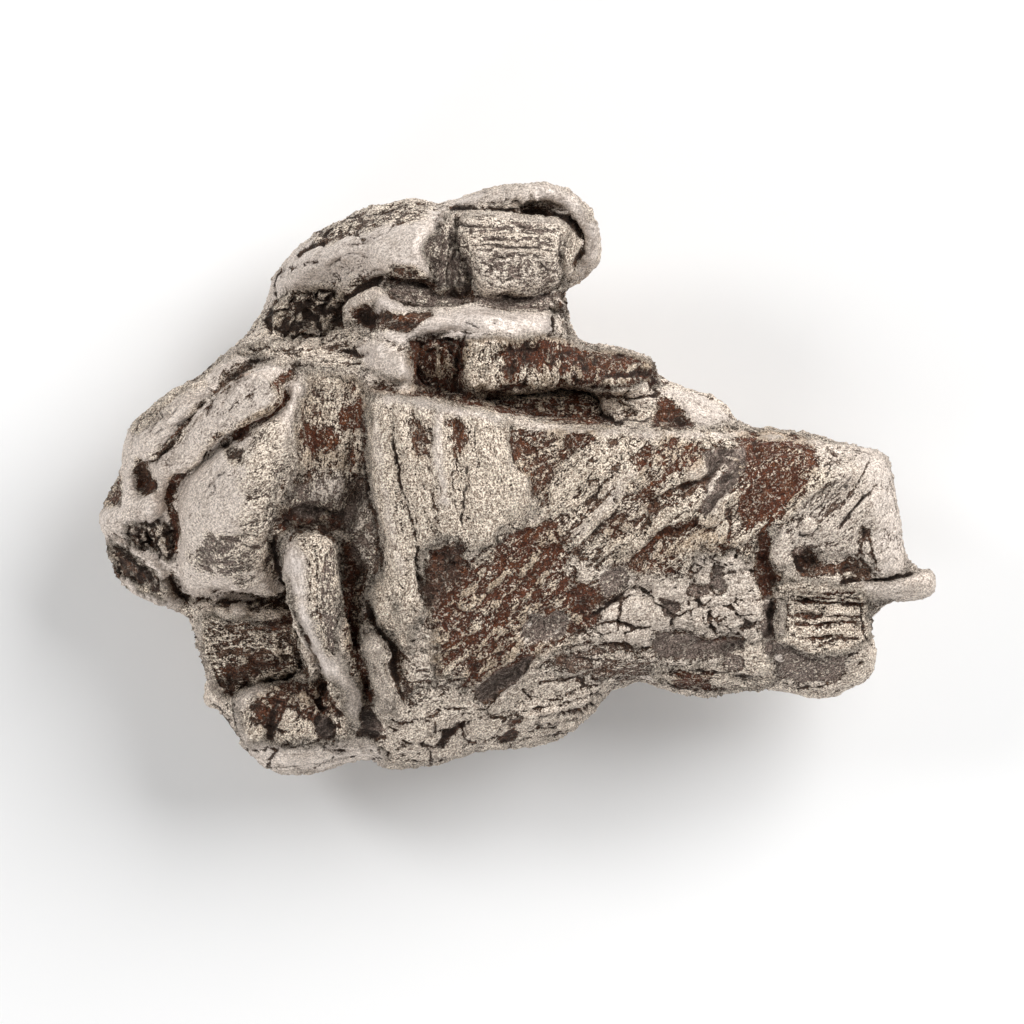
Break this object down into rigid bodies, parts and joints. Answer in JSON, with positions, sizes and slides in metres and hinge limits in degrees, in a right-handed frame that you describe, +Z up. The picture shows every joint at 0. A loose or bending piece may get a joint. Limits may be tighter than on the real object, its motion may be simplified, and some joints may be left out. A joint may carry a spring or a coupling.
{
  "type": "meteorite",
  "caption": "Torn, folded fragment of an iron meteorite, worn silvery on its high places and brown in its hollows, lying on its back.",
  "frame": {"origin": "on the ground under the middle of the stone's box", "axes": "+X along the length towards the thin tab, +Y towards the head with the folded rim, +Z up, out of the side shown"},
  "size_m": [0.0506, 0.0356, 0.0208],
  "materials": {
    "worn_iron": "worn metal, silvery on high places and rusty brown in the hollows"
  },
  "bodies": {
    "root": {"meteorite": "worn_iron"}
  },
  "joints": []
}
